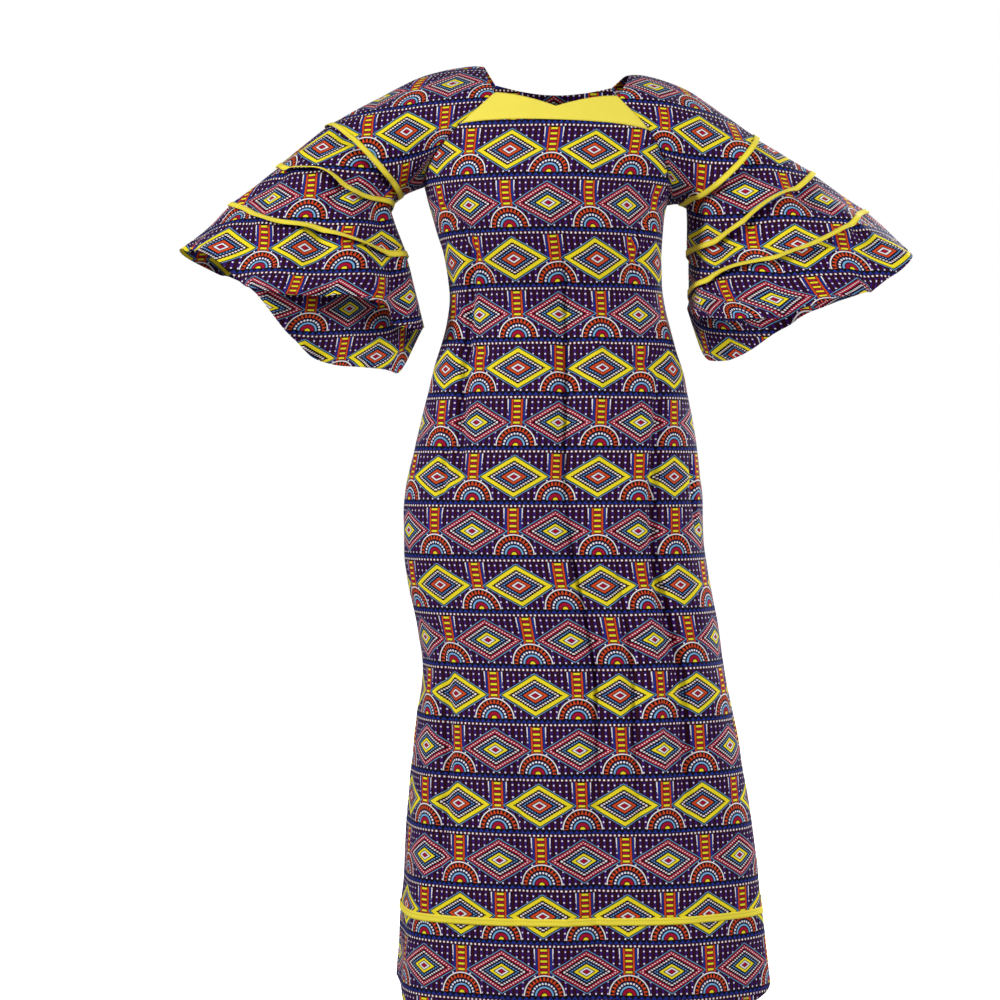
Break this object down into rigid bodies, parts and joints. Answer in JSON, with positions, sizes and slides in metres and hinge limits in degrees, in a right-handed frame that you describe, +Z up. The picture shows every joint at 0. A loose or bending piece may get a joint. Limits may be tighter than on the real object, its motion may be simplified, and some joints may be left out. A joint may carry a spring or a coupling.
{
  "type": "worn ankara wax print maxi dress with tiered flounce sleeves",
  "caption": "Full-length wax print cotton dress, worn but hollow: raglan body with a yellow sweetheart neck insert and tiered flounce sleeves edged with yellow bands.",
  "frame": {"origin": "midway between the tops of the two shoulders beside the neck, where the wearer's shoulders hold the dress up", "axes": "+Z up along the wearer's height, -Y towards the front, +X towards the wearer's left"},
  "size_m": [1.132, 0.365, 1.456],
  "materials": {
    "wax_print": "printed wax cotton, plain weave, soft low sheen, the same on both faces",
    "yellow_cotton": "plain yellow cotton poplin, matt",
    "yellow_band": "folded yellow cotton bias band, stitched along both edges"
  },
  "bodies": {
    "root": {"front_panel": "wax_print", "back_panel": "wax_print", "neck_insert": "yellow_cotton", "hem_band": "yellow_band", "sleeve_right": "wax_print", "flounce_1_right": "wax_print", "flounce_2_right": "wax_print", "flounce_3_right": "wax_print", "band_1_right": "yellow_band", "band_2_right": "yellow_band", "band_3_right": "yellow_band", "sleeve_left": "wax_print", "flounce_1_left": "wax_print", "flounce_2_left": "wax_print", "flounce_3_left": "wax_print", "band_1_left": "yellow_band", "band_2_left": "yellow_band", "band_3_left": "yellow_band"}
  },
  "joints": []
}
